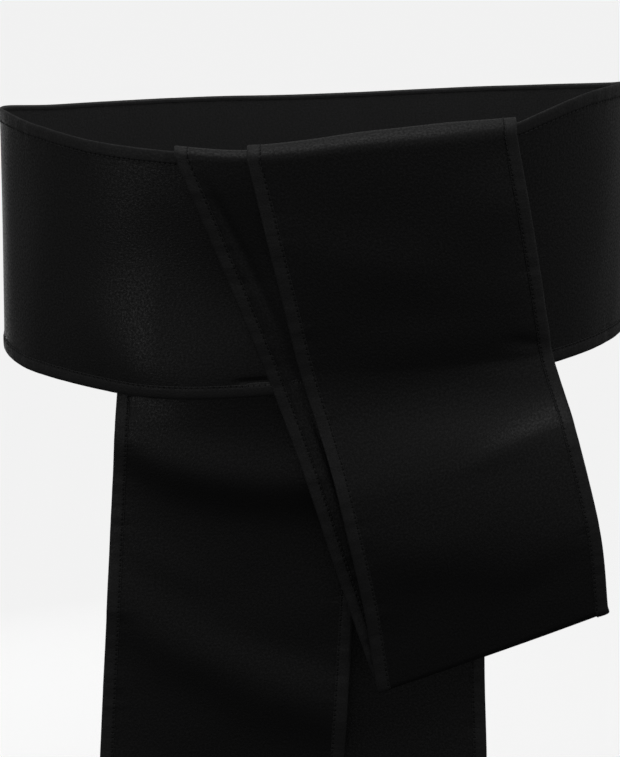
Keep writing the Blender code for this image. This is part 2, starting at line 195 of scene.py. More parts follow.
# Creases: where the middle of each lies (along in the strip's own measure, across in mm from the
# strip's first edge), its turn from the strip's length in degrees, and its reach, width and depth in mm
Crease = namedtuple("Crease", "along across turn reach width depth")
WAIST_CREASES = [
    Crease(338, 4, 0, 38, 25, 3.1),
    Crease(339.7, 51, -28, 30, 18, -1.2),
    Crease(330.4, 14, -28, 36, 17, 1.5),
    Crease(349.7, 6.7, 0, 7, 1.2, -0.8),
    Crease(300, 30, 78, 55, 12, 0.5),
    Crease(330, 22, 84, 40, 9, 0.45),
    Crease(345, 60, 96, 45, 11, -0.4),
    Crease(70, 40, 80, 35, 10, -0.4),
    Crease(130, 55, 100, 60, 13, 0.7),
    Crease(170, 30, 82, 50, 10, -0.6),
    Crease(200, 66, 95, 60, 12, 0.6),
    Crease(235, 38, 76, 45, 12, -0.6),
]
TOP_LEAF_CREASES = [
    Crease(0.26, 101, 0, 52, 9, -1.0),
    Crease(0.45, 93, 62, 13, 3.2, -0.5),
    Crease(0.50, 84, 70, 20, 5.0, 0.4),
    Crease(0.61, 78, 96, 25, 4.5, 0.7),
    Crease(0.20, 30, 70, 40, 10, 0.35),
    Crease(0.35, 62, 75, 35, 9, -0.3),
    Crease(0.80, 40, 62, 40, 12, 0.4),
    Crease(0.88, 78, 105, 25, 9, -0.35),
]
UNDER_LEAF_CREASES = [
    Crease(0.22, 11, 4, 40, 2.4, -0.9),
    Crease(0.52, 12, 3, 45, 2.6, -0.9),
    Crease(0.66, 18, 8, 30, 4.0, 0.5),
    Crease(0.40, 55, 70, 35, 10, 0.4),
]
FRONT_TAIL_CREASES = [
    Crease(1.16, 22, 60, 26, 7, 0.4),
    Crease(1.24, 66, 72, 30, 8, -0.4),
    Crease(1.40, 40, 55, 35, 9, 0.4),
    Crease(1.62, 64, 105, 30, 9, 0.4),
    Crease(1.82, 36, 68, 34, 10, -0.4),
]
BACK_TAIL_CREASES = [
    Crease(1.20, 50, 66, 34, 8, 0.4),
    Crease(1.44, 30, 110, 30, 9, -0.4),
    Crease(1.70, 62, 72, 34, 9, 0.45),
]

# The section of a binding folded over an edge, from its front lip round the fold to its back lip: inset from
# the edge as a share of its width, and height as a share of its half thickness
ProfileRow = namedtuple("ProfileRow", "inset rise")
FRONT_LIP = [
    ProfileRow(1.000, 0.50),
    ProfileRow(0.992, 0.74),
    ProfileRow(0.965, 0.90),
    ProfileRow(0.930, 0.93),
    ProfileRow(0.880, 0.90),
    ProfileRow(0.835, 0.96),
    ProfileRow(0.770, 0.99),
    ProfileRow(0.640, 1.02),
    ProfileRow(0.430, 1.05),
    ProfileRow(0.230, 1.00),
    ProfileRow(0.100, 0.82),
    ProfileRow(0.025, 0.48),
]
FOLD_ROW = ProfileRow(0.0, 0.0)
SLOT = [ProfileRow(0.20, -0.56), ProfileRow(0.14, 0.0), ProfileRow(0.20, 0.56)]
STITCH_INSET = 0.88
INNER_LIP_SHARE = 0.36
OUTER_FACE = (1,)
BOTH_FACES = (1, -1)

# Short waves of the cloth along a sewn edge: wavelength in mm, share of the depth, slant across the edge
RippleRow = namedtuple("RippleRow", "wavelength share slant")
PUCKERS = [
    RippleRow(4.3, 0.30, 0.10),
    RippleRow(6.9, 0.40, -0.07),
    RippleRow(10.7, 0.55, 0.05),
    RippleRow(17.3, 0.60, -0.03),
]
BINDING_RIPPLES = [RippleRow(3.1, 0.45, 0.42), RippleRow(7.7, 0.55, 0.30), RippleRow(13.9, 0.60, -0.22)]
SLOW_WAVES = [RippleRow(38.0, 0.30, 0.10), RippleRow(61.0, 0.45, -0.07), RippleRow(97.0, 0.60, 0.04)]


class SashClothSettings(bpy.types.PropertyGroup):
    panel_thickness: bpy.props.FloatProperty(
        name="Panel Thickness",
        description="Thickness of the satin of a panel",
        default=0.0007,
        min=0.0002,
        max=0.002,
        subtype="DISTANCE",
        unit="LENGTH",
    )
    binding_width: bpy.props.FloatProperty(
        name="Binding Width",
        description="Width of the binding folded over each edge",
        default=0.0057,
        min=0.003,
        max=0.012,
        subtype="DISTANCE",
        unit="LENGTH",
    )
    binding_thickness: bpy.props.FloatProperty(
        name="Binding Thickness",
        description="Thickness of the binding with the panel's edge inside it",
        default=0.0015,
        min=0.0008,
        max=0.003,
        subtype="DISTANCE",
        unit="LENGTH",
    )
    stitch_pitch: bpy.props.FloatProperty(
        name="Stitch Pitch",
        description="Distance from one topstitch to the next",
        default=0.0022,
        min=0.001,
        max=0.006,
        subtype="DISTANCE",
        unit="LENGTH",
    )
    thread_diameter: bpy.props.FloatProperty(
        name="Thread Diameter",
        description="Thickness of the topstitching thread",
        default=0.0003,
        min=0.0001,
        max=0.001,
        subtype="DISTANCE",
        unit="LENGTH",
    )
    pucker_depth: bpy.props.FloatProperty(
        name="Pucker Depth",
        description="How far the cloth draws up in short waves beside a row of stitches",
        default=0.00016,
        min=0.0,
        max=0.001,
        subtype="DISTANCE",
        unit="LENGTH",
    )
    slow_wave_depth: bpy.props.FloatProperty(
        name="Slow Wave Depth",
        description="How far a panel strays from an even surface in long soft waves",
        default=0.0002,
        min=0.0,
        max=0.002,
        subtype="DISTANCE",
        unit="LENGTH",
    )


class SashFinishSettings(bpy.types.PropertyGroup):
    satin_colour: bpy.props.FloatVectorProperty(
        name="Satin Colour",
        description="Colour of the panels' satin",
        default=(0.0055, 0.0055, 0.0058),
        min=0.0,
        max=1.0,
        subtype="COLOR",
    )
    reverse_colour: bpy.props.FloatVectorProperty(
        name="Reverse Colour",
        description="Colour of the panels' duller inner side",
        default=(0.074, 0.074, 0.075),
        min=0.0,
        max=1.0,
        subtype="COLOR",
    )
    # Lighter than the panels' satin: painted highlight for the light the bindings' rounded folds catch, on their own
    # duller satin
    binding_colour_with_painted_highlight: bpy.props.FloatVectorProperty(
        name="Binding Colour",
        description="Colour of the bindings' satin, cut across the grain",
        default=(0.018, 0.018, 0.0185),
        min=0.0,
        max=1.0,
        subtype="COLOR",
    )
    thread_colour: bpy.props.FloatVectorProperty(
        name="Thread Colour",
        description="Colour of the topstitching",
        default=(0.030, 0.030, 0.031),
        min=0.0,
        max=1.0,
        subtype="COLOR",
    )
    satin_roughness: bpy.props.FloatProperty(
        name="Satin Roughness",
        description="Softness of the satin's gloss",
        default=0.41,
        min=0.1,
        max=1.0,
        subtype="FACTOR",
    )
    weave_depth: bpy.props.FloatProperty(
        name="Weave Depth",
        description="Height of the satin's floats",
        default=0.00013,
        min=0.0,
        max=0.001,
        subtype="DISTANCE",
        unit="LENGTH",
    )


class SashStageSettings(bpy.types.PropertyGroup):
    camera_place: bpy.props.FloatVectorProperty(
        name="Camera Place",
        description="Where the camera stands",
        default=(-0.0016, -1.0, 0.247),
        subtype="TRANSLATION",
        unit="LENGTH",
    )
    camera_dip: bpy.props.FloatProperty(
        name="Camera Dip",
        description="How far the camera looks down",
        default=np.radians(18.0),
        min=0.0,
        max=np.radians(60.0),
        subtype="ANGLE",
        unit="ROTATION",
    )
    lens: bpy.props.FloatProperty(
        name="Lens",
        description="Focal length on a sensor 36 mm on its long side",
        default=115.56,
        min=20.0,
        max=300.0,
        subtype="DISTANCE_CAMERA",
    )
    floor_colour: bpy.props.FloatVectorProperty(
        name="Floor Colour",
        description="Colour of the plain floor and the sweep behind",
        default=(0.80, 0.80, 0.80),
        min=0.0,
        max=1.0,
        subtype="COLOR",
    )
    floor_glow: bpy.props.FloatProperty(
        name="Floor Glow",
        description="Even light that the pale floor gives back",
        default=0.65,
        min=0.0,
        max=2.0,
    )
    floor_height: bpy.props.FloatProperty(
        name="Floor Height",
        description="Height of the floor under the hanging tails",
        default=-0.62,
        max=-0.52,
        subtype="DISTANCE",
        unit="LENGTH",
    )


def smooth_curve(at, values, x):
    """A smooth curve through (at, values): cubic pieces whose slopes are the mean of their neighbours'."""
    at = np.asarray(at, float)
    values = np.asarray(values, float)
    step = np.diff(at)
    slope = np.diff(values) / step
    tangent = np.empty_like(values)
    tangent[1:-1] = (slope[:-1] * step[1:] + slope[1:] * step[:-1]) / (step[1:] + step[:-1])
    tangent[0] = slope[0]
    tangent[-1] = slope[-1]
    x = np.clip(x, at[0], at[-1])
    i = np.clip(np.searchsorted(at, x, side="right") - 1, 0, len(step) - 1)
    t = (x - at[i]) / step[i]
    rise = values[i + 1] - values[i]
    a = step[i] * tangent[i]
    b = step[i] * tangent[i + 1]
    return values[i] + t * (a + t * (3 * rise - 2 * a - b + t * (a + b - 2 * rise)))


def column(rows, name, scale=MM):
    return [getattr(row, name) * scale for row in rows]


def ease(x, start, end):
    """0 before start, 1 after end, and a smooth S between."""
    t = np.clip((x - start) / (end - start), 0, 1)
    return t * t * (3 - 2 * t)


def between(a, b, share):
    return a + (b - a) * share


def waist_edge(bearing, name):
    """The height of the waist stretch's top or bottom edge at a bearing in degrees."""
    rows = WAIST[-3:] + WAIST + WAIST[:3]
    turns = [-360] * 3 + [0] * len(WAIST) + [360] * 3
    at = [row.bearing + turn for row, turn in zip(rows, turns)]
    wrapped = (np.asarray(bearing) + 180) % 360 - 180
    return smooth_curve(at, column(rows, name), wrapped)


def lean_at(z, cosine):
    return FRONT_LEAN * z / (SASH_WIDTH / 2) * (1 + cosine) / 2


def half_width_at(z):
    return WAIST_HALF_WIDTH - SIDE_FLARE * z / (SASH_WIDTH / 2)


def waist_surface(bearing, share):
    """The oval wall round the wearer: x is the half width times the sine of the bearing and y the half depth
    times its cosine. share is 0 at the bottom edge and 1 at the top edge."""
    z = between(waist_edge(bearing, "bottom"), waist_edge(bearing, "top"), share)
    angle = np.radians(bearing)
    cosine = np.cos(angle)
    x = half_width_at(z) * np.sin(angle)
    y = -(WAIST_HALF_DEPTH + lean_at(z, cosine)) * cosine
    return np.stack(np.broadcast_arrays(x, y, z), axis=-1)


def wall_depth(x, z, out):
    """How far back the front half of the same wall, moved out, lies at x and z."""
    share = np.clip(x / (half_width_at(z) + out), -WIDEST_FRONT_SHARE, WIDEST_FRONT_SHARE)
    cosine = np.sqrt(1 - share**2)
    return -(WAIST_HALF_DEPTH + lean_at(z, cosine) + out) * cosine


def bearing_of(x):
    return np.degrees(np.arcsin(np.clip(x / WAIST_HALF_WIDTH, -WIDEST_FRONT_SHARE, WIDEST_FRONT_SHARE)))


def section_depth(rows, x, z):
    """The depth of a hanging section: straight from its left end to its right end, plus a bow."""
    at = column(rows, "z")
    left_x = smooth_curve(at, column(rows, "left_x"), z)
    left_y = smooth_curve(at, column(rows, "left_y"), z)
    right_x = smooth_curve(at, column(rows, "right_x"), z)
    right_y = smooth_curve(at, column(rows, "right_y"), z)
    bow = smooth_curve(at, column(rows, "bow"), z)
    share = (x - left_x) / (right_x - left_x)
    return between(left_y, right_y, share) - bow * 4 * share * (1 - share)


def loop_layer(x, down):
    """The top leaf's layer: second over the under leaf, first where the fold passes the under leaf's edge."""
    return 2 - ease(x, *PAST_UNDER_LEAF_X) * (1 - ease(down, *SECOND_LAYER_SHARE))


def leaf_outline(rows, share, across, drop):
    """x and z on a leaf, across from its left edge (0) to its right edge (1), down from its top fold, which
    starts this drop (at its left and right) below the waist stretch's top edge."""
    at = column(rows, "share", 1)
    x = between(
        smooth_curve(at, column(rows, "left_x"), share), smooth_curve(at, column(rows, "right_x"), share), across
    )
    z = between(
        smooth_curve(at, column(rows, "left_z"), share), smooth_curve(at, column(rows, "right_z"), share), across
    )
    first_x = between(rows[0].left_x, rows[0].right_x, across) * MM
    first_z = between(rows[0].left_z, rows[0].right_z, across) * MM
    edge_z = waist_edge(bearing_of(first_x), "top") + TOP_FOLD_CLEARANCE - between(*drop, across)
    return x, z + (edge_z - first_z) * (1 - share) ** 2


def free_share(x, z, drop):
    """0 on the wall, 1 once a point hangs this far below the wall's bottom edge."""
    below = waist_edge(bearing_of(x), "bottom") - z
    return ease(below, 0.0, drop)


def leaf_free_share(x, z, across):
    """The same for a leaf, which leaves the wall in a long soft sweep, longest at its left edge."""
    below = waist_edge(bearing_of(x), "bottom") - z
    return ease(below, between(LEAF_SWEEP_START[0], LEAF_SWEEP_START[1], across), between(*LEAF_SWEEP_END, across))


def bottom_fold_radius(across):
    return between(BOTTOM_FOLD_LEFT, BOTTOM_FOLD_RIGHT, across)


def top_leaf_front(share, across):
    x, z = leaf_outline(TOP_LEAF, share, across, TOP_LEAF_ROLL_DROP)
    free = leaf_free_share(x, z, across)
    standing = between(*TOP_LEAF_ROLL, across) * roll(TOP_LEAF, share, across, TOP_LEAF_ROLL_REACH)
    out = loop_layer(x, share) * LAYER_PITCH + standing
    y = between(wall_depth(x, z, out), section_depth(LOOP_HANG, x, z), free)
    return np.stack([x, y, z], axis=-1)


def calm_at_folds(down):
    """1 on a leaf's face, 0 over its top fold and its bottom fold."""
    return ease(down, -0.02, 0.12) * (1 - ease(down, 0.90, 1.0))


def under_leaf_front(share, across):
    x, z = leaf_outline(UNDER_LEAF, share, across, UNDER_LEAF_ROLL_DROP)
    free = leaf_free_share(x, z, across)
    opening = [between(left, right, across) for left, right in zip(LOOP_OPENING_LEFT, LOOP_OPENING_RIGHT)]
    apart = between(LOOP_SPACING, LOOP_BELLY, ease(share, *opening))
    spacing = between(apart, 2 * bottom_fold_radius(across), ease(share, *LOOP_CLOSING_SHARE))
    out = LAYER_PITCH + between(*UNDER_LEAF_ROLL, across) * roll(UNDER_LEAF, share, across, UNDER_LEAF_ROLL_REACH)
    y = between(wall_depth(x, z, out), section_depth(LOOP_HANG, x, z) + spacing, free)
    return np.stack([x, y, z], axis=-1)


def over_top_edge(front, radius, swell, drop, turn):
    """The fold over the waist stretch's top edge: a half turn from the front face to the inside. Its front
    quarter is an ellipse, radius plus swell deep and radius plus drop high, its inner quarter a circle."""
    x = front[..., 0]
    crest = front[..., 2] + radius + drop
    z = crest - (radius + drop * (turn < np.pi / 2)) * (1 - np.sin(turn))
    out = radius * np.cos(turn) + swell * np.maximum(np.cos(turn), 0)
    return np.stack([x, wall_depth(x, z, out), z], axis=-1)


def roll(rows, share, across, reach):
    """How far a leaf still stands out at this share below its top fold, as it settles onto the layer under it."""
    at = column(rows, "share", 1)
    left_z = smooth_curve(at, column(rows, "left_z"), share)
    right_z = smooth_curve(at, column(rows, "right_z"), share)
    below = between(rows[0].left_z, rows[0].right_z, across) * MM - between(left_z, right_z, across)
    return 1 - ease(below, 0.0, reach)


def under_bottom_fold(front, across, turn):
    """The loop's bottom fold: a half turn from the top leaf's last row back to the under leaf."""
    radius = bottom_fold_radius(across)
    tilt = np.radians(BOTTOM_FOLD_TILT)
    x = front[..., 0] + radius * np.sin(turn) * np.sin(tilt)
    y = front[..., 1] + radius * (1 - np.cos(turn))
    z = front[..., 2] - radius * np.sin(turn) * np.cos(tilt)
    return np.stack([x, y, z], axis=-1)


def top_leaf_surface(down, across):
    """down: -1 to 0 is the half turn over the top edge, 0 to 1 the front face, 1 to 2 the bottom fold."""
    front = top_leaf_front(np.clip(down, 0, 1), across)
    radius = loop_layer(front[..., 0], 0.0) * LAYER_PITCH
    swell = between(*TOP_LEAF_ROLL, across)
    drop = between(*TOP_LEAF_ROLL_DROP, across)
    top = over_top_edge(front, radius, swell, drop, np.pi * np.clip(-down, 0, 1))
    bottom = under_bottom_fold(front, across, np.pi * np.clip(down - 1, 0, 1))
    down = down[..., None]
    return np.where(down < 0, top, np.where(down > 1, bottom, front))


def under_leaf_surface(down, across):
    """down: -1 to 0 is the half turn over the top edge, 0 to 1 the face."""
    front = under_leaf_front(np.clip(down, 0, 1), across)
    swell = between(*UNDER_LEAF_ROLL, across)
    drop = between(*UNDER_LEAF_ROLL_DROP, across)
    top = over_top_edge(front, LAYER_PITCH, swell, drop, np.pi * np.clip(-down, 0, 1))
    return np.where(down[..., None] < 0, top, front)


def wave_height(rows, share, z):
    """Soft waves across a tail: the sum of bell curves, each round a crest line that sags in its middle."""
    height = np.zeros(np.broadcast(share, z).shape)
    for row in rows:
        crest = between(row.left_z, row.right_z, share) - row.sag * 4 * share * (1 - share)
        height = height + row.depth * MM * np.exp(-(((z / MM - crest) / row.width) ** 2))
    return height


def tail_surface(inner, hang, drop, layer, start_layer, waves):
    """A tail from inside the waist stretch's top edge. down: 0 to 1 runs down the wall, 1 to 2 hangs free."""

    def surface(down, across):
        inside = np.clip(down, 0, 1)
        left_x = between(inner[0].left_x, inner[1].left_x, inside) * MM
        right_x = between(inner[0].right_x, inner[1].right_x, inside) * MM
        first_x = between(inner[0].left_x, inner[0].right_x, across) * MM
        last_x = between(inner[1].left_x, inner[1].right_x, across) * MM
        top = waist_edge(bearing_of(first_x), "top") - TAIL_START_BELOW_FOLD
        bottom = waist_edge(bearing_of(last_x), "bottom")
        end = hang[-1].z * MM - drop
        z = np.where(down <= 1, between(top, bottom, inside), between(bottom, end, np.clip(down - 1, 0, 1)))
        at = column(hang, "z")
        free_left = smooth_curve(at, column(hang, "left_x"), z)
        free_right = smooth_curve(at, column(hang, "right_x"), z)
        x = np.where(down <= 1, between(left_x, right_x, across), between(free_left, free_right, across))
        at_layer = between(start_layer(x), layer, ease(down, *INNER_LAYER_SHARE))
        on_wall = wall_depth(x, z, -at_layer * LAYER_PITCH)
        free = free_share(x, z, TAIL_FREE_DROP)
        y = between(on_wall, section_depth(hang, x, z) - wave_height(waves, across, z), free)
        return np.stack([x, y, z], axis=-1)

    return surface


def first_layer(x):
    return 1.0 + 0 * x


def top_leaf_inner_layer(x):
    return loop_layer(x, 0.0)


def ripples(rows, length, across, phase):
    """The sum of slanted sine waves along an edge. length and across are in mm."""
    total = 0.0
    for i, row in enumerate(rows):
        turn = length / row.wavelength + row.slant * across / 10 + phase * (i + 1) * 0.37
        total = total + row.share * np.sin(2 * np.pi * turn)
    return total


class Strip:
    """One stretch of the sash: a surface of two parameters, with its creases, waves and puckers laid on it.

    Lengths run down the strip's middle line from 0 to its length, and across from 0 to the sash's width. The
    face is on the side that the cross product of the two directions points to.
    """

    samples = 6000
    step = 0.1 * MM

    def __init__(self, surface, start, end, creases, phase, settings, pucker=1.0, calm=None):
        self.surface = surface
        self.along = np.linspace(start, end, self.samples)
        line = surface(self.along, np.full(self.samples, 0.5))
        steps = np.linalg.norm(np.diff(line, axis=0), axis=1)
        self.run = np.concatenate([[0.0], np.cumsum(steps)])
        self.length = self.run[-1]
        self.creases = creases
        self.phase = phase
        self.pucker = pucker * settings.pucker_depth
        self.slow = settings.slow_wave_depth
        self.calm = calm
        self.stitch_inset = STITCH_INSET * settings.binding_width

    def at(self, length, across):
        along = np.interp(length, self.run, self.along)
        return self.surface(along, across / SASH_WIDTH)

    def relief(self, length, across):
        """Height over the plain surface: slow waves, bell-shaped creases, and puckers that fade from the seam.

        All of it dies away where the cloth is pulled smooth, over its folds.
        """
        l = length / MM
        a = across / MM
        height = self.slow * ripples(SLOW_WAVES, l, a, self.phase)
        for row in self.creases:
            middle = np.interp(row.along, self.along, self.run) / MM
            turn = np.radians(row.turn)
            down = l - middle
            side = a - row.across
            lengthwise = down * np.cos(turn) + side * np.sin(turn)
            sideways = side * np.cos(turn) - down * np.sin(turn)
            bell = np.exp(-((sideways / row.width) ** 2) - (lengthwise / row.reach) ** 4)
            height = height + row.depth * MM * bell
        for edge, far in ((0.0, 0.0), (SASH_WIDTH / MM, 7.3)):
            inset = np.abs(a - edge)
            fade = 1 / (1 + ((inset - self.stitch_inset / MM) / 4.2) ** 2) * np.exp(-inset / 16)
            groups = 0.3 + 0.7 * np.sin(np.pi * (l / 41.0 + self.phase + far)) ** 2
            height = height + self.pucker * fade * groups * ripples(PUCKERS, l, inset, self.phase + far)
        if self.calm:
            height = height * self.calm(np.interp(length, self.run, self.along))
        return height

    def place(self, length, across, rise):
        """The point this far along and across, raised off the cloth by rise along the surface's normal."""
        point = self.at(length, across)
        down = self.at(np.minimum(length + self.step, self.length), across)
        down = down - self.at(np.maximum(length - self.step, 0), across)
        side = self.at(length, across + self.step) - self.at(length, across - self.step)
        normal = np.cross(down, side)
        normal /= np.linalg.norm(normal, axis=-1, keepdims=True)
        return point + normal * (self.relief(length, across) + rise)[..., None]


def mesh_object(name, points, faces, uvs, material):
    """A mesh from arrays of points, four- or three-sided faces and a UV pair for each point, in metres."""
    mesh = bpy.data.meshes.new(name)
    mesh.from_pydata(points.reshape(-1, 3), [], faces)
    layer = mesh.uv_layers.new(name=UV_NAME)
    corners = np.empty(len(mesh.loops), np.int32)
    mesh.loops.foreach_get("vertex_index", corners)
    layer.data.foreach_set("uv", uvs.reshape(-1, 2)[corners].astype(np.float32).ravel())
    mesh.shade_smooth()
    mesh.materials.append(material)
    mesh.validate()
    piece = bpy.data.objects.new(name, mesh)
    bpy.context.scene.collection.objects.link(piece)
    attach(piece, BODY)
    return piece


def grid_faces(rows, columns, start=0, flip=False):
    """Quads over a grid of points numbered row by row."""
    index = start + np.arange(rows * columns).reshape(rows, columns)
    quads = np.stack([index[:-1, :-1], index[1:, :-1], index[1:, 1:], index[:-1, 1:]], axis=-1).reshape(-1, 4)
    return quads[:, ::-1] if flip else quads


def panel_columns(settings):
    """Places across a panel, under one binding to under the other, closer together beside the seams."""
    under = 0.25 * settings.binding_width
    side = 14.0 * MM
    near = np.linspace(under, side, 14)
    middle = np.linspace(side, SASH_WIDTH - side, 26)[1:-1]
    return np.concatenate([near, middle, SASH_WIDTH - near[::-1]])


def add_panel(name, strip, first, last, settings, material, reverse):
    """The satin of a strip: a face and a back, each a grid of points raised half the thickness, joined round."""
    lengths = np.linspace(first, last, max(2, round((last - first) / (1.3 * MM)) + 1))
    across = panel_columns(settings)
    down, side = np.meshgrid(lengths, across, indexing="ij")
    rise = np.full(down.shape, settings.panel_thickness / 2)
    points = np.stack([strip.place(down, side, rise), strip.place(down, side, -rise)])
    rows, columns = down.shape
    count = rows * columns
    index = np.arange(count).reshape(rows, columns)
    border = np.concatenate([index[:-1, 0], index[-1, :-1], index[:0:-1, -1], index[0, :0:-1]])
    ahead = np.roll(border, -1)
    rim = np.stack([border, border + count, ahead + count, ahead], axis=-1)
    faces = np.concatenate([grid_faces(rows, columns), grid_faces(rows, columns, count, flip=True), rim])
    uvs = np.stack([side, down], axis=-1)
    piece = mesh_object(name, points, faces.tolist(), np.stack([uvs, uvs]), material)
    piece.data.materials.append(reverse)
    is_reverse = (np.arange(len(faces)) >= len(faces) // 2).astype(np.int32)
    piece.data.polygons.foreach_set("material_index", is_reverse)
    return piece


def binding_profile():
    back = [ProfileRow(row.inset, -row.rise) for row in FRONT_LIP[::-1]]
    rows = FRONT_LIP + [FOLD_ROW] + back + SLOT
    return np.array(column(rows, "inset", 1)), np.array(column(rows, "rise", 1))


def edge_place(strip, edge, run, inset):
    """Length and across for a place this far along an edge and this far in from it."""
    if edge == "left":
        return run, inset
    if edge == "right":
        return run, SASH_WIDTH - inset
    return strip.length - inset, run


def add_binding(name, strip, edge, first, last, settings, material, thicker=None, reverse=None):
    """A binding: its section carried along the edge, swelling and rippling a little, with a dent at each hole.

    thicker gives, at each place along the edge, how much wider and thicker than usual the binding is. With a
    reverse, the binding shows less of itself on the inner side, in that material.
    """
    count = max(4, round((last - first) / (settings.stitch_pitch / 2)))
    runs = np.linspace(first, last, count + 1)
    inset_share, rise_share = binding_profile()
    run, inset_share = np.meshgrid(runs, inset_share, indexing="ij")
    rise_share = np.broadcast_to(rise_share, run.shape)
    if reverse:
        inset_share = np.where((rise_share < 0) & (inset_share > SLOT[0].inset), inset_share * INNER_LIP_SHARE, inset_share)
        inset_share = np.where(rise_share < 0, np.maximum(inset_share, 0.0), inset_share)
    growth = np.ones(run.shape) if thicker is None else 1 + thicker(run)
    inset = inset_share * settings.binding_width * (1 + 0.35 * (growth - 1))
    phase = strip.phase + (0.31 if edge == "left" else 0.77)
    swell = 1 + 0.11 * ripples(BINDING_RIPPLES, run / MM, inset / MM, phase)
    dent = 1 - 0.42 * np.exp(-(((inset_share - STITCH_INSET) / 0.05) ** 2)) * (np.arange(count + 1) % 2)[:, None]
    outer = np.abs(rise_share) > 0.6
    rise = rise_share * settings.binding_thickness / 2 * np.where(outer, swell * dent, 1) * growth
    length, across = edge_place(strip, edge, run, inset)
    points = strip.place(length, across, rise)
    rows, columns = run.shape
    index = np.arange(rows * columns).reshape(rows, columns)
    ring = np.concatenate([index, index[:, :1]], axis=1)
    quads = np.stack([ring[:-1, :-1], ring[1:, :-1], ring[1:, 1:], ring[:-1, 1:]], axis=-1).reshape(-1, 4)
    caps = [index[0].tolist(), index[-1, ::-1].tolist()]
    faces = quads.tolist() + caps
    if edge == "left":
        faces = [face[::-1] for face in faces]
    uvs = np.stack([inset, run], axis=-1)
    piece = mesh_object(name, points, faces, uvs, material)
    if reverse:
        piece.data.materials.append(reverse)
        inner = np.zeros(len(faces), np.int32)
        inner[: len(quads)] = np.tile(rise_share[0] + np.roll(rise_share[0], -1) < 0, len(runs) - 1)
        piece.data.polygons.foreach_set("material_index", inner)
    return piece


def add_stitching(name, rows, settings, material):
    """Rows of topstitches. Each is a short bowed tube of five rings, whose ends dip into the binding.

    rows: (strip, edge, first, last, the faces that show thread: 1 the outer one, -1 the inner one).
    """
    sides = 5
    rings = np.linspace(-0.5, 0.5, 5)
    stitch_length = 0.80 * settings.stitch_pitch
    radius = settings.thread_diameter / 2
    width = radius * np.array([0.45, 0.95, 1.05, 0.95, 0.45])
    bow = radius * np.array([-1.3, 0.35, 0.75, 0.35, -1.3])
    slant = 0.06 * stitch_length
    turn = 2 * np.pi * np.arange(sides) / sides
    points = []
    uvs = []
    for strip, edge, first, last, faces in rows:
        count = int((last - first) / settings.stitch_pitch)
        middles = first + settings.stitch_pitch * (np.arange(count) + 0.5)
        for face in faces:
            run = middles[:, None, None] + rings[None, :, None] * stitch_length + 0 * turn
            inset = STITCH_INSET * settings.binding_width + rings[None, :, None] * slant + width[:, None] * np.cos(turn)
            level = 0.84 * settings.binding_thickness / 2 + bow[:, None] + width[:, None] * np.sin(turn)
            inset, level = np.broadcast_arrays(inset, level)
            inset = np.broadcast_to(inset, run.shape)
            level = np.broadcast_to(level, run.shape)
            length, across = edge_place(strip, edge, run, inset)
            points.append(strip.place(length, across, face * level))
            uvs.append(np.stack([inset, run], axis=-1))
    points = np.concatenate(points)
    uvs = np.concatenate(uvs)
    ring_count = len(rings)
    index = np.arange(points.size // 3).reshape(-1, ring_count, sides)
    ring = np.concatenate([index, index[..., :1]], axis=2)
    quads = np.stack([ring[:, :-1, :-1], ring[:, 1:, :-1], ring[:, 1:, 1:], ring[:, :-1, 1:]], axis=-1)
    ends = np.concatenate([index[:, 0], index[:, -1, ::-1]])
    faces = quads.reshape(-1, 4).tolist() + ends.tolist()
    piece = mesh_object(name, points, faces, uvs, material)
    return turned_out(piece)


def turned_out(piece):
    """The same piece with each closed body's faces pointing out."""
    import bmesh

    mesh = bmesh.new()
    mesh.from_mesh(piece.data)
    bmesh.ops.recalc_face_normals(mesh, faces=mesh.faces)
    mesh.to_mesh(piece.data)
    mesh.free()
    return piece


# A needle hole: where it starts and is full, as shares of a stitch from its middle, and in metres from the row
HOLE_ALONG = (0.30, 0.42)
HOLE_ACROSS = (0.28 * MM, 0.66 * MM)
HOLE_DEPTH = 0.14 * MM
# How far each needle hole's colour is drawn toward black as painted shade; the same share roughens and dents it
HOLE_SHADE = 0.9
# How much of the relief the grain adds to the weave's floats
GRAIN_SHARE = 0.35
# The darkest and the lightest flecks, as shares of the cloth's colour
FACE_FLECKS = (0.45, 1.8)
DULL_FLECKS = (0.8, 1.25)
# Where in the grain the threads that glint begin and are brightest
GLINT_RANGE = (0.44, 0.74)


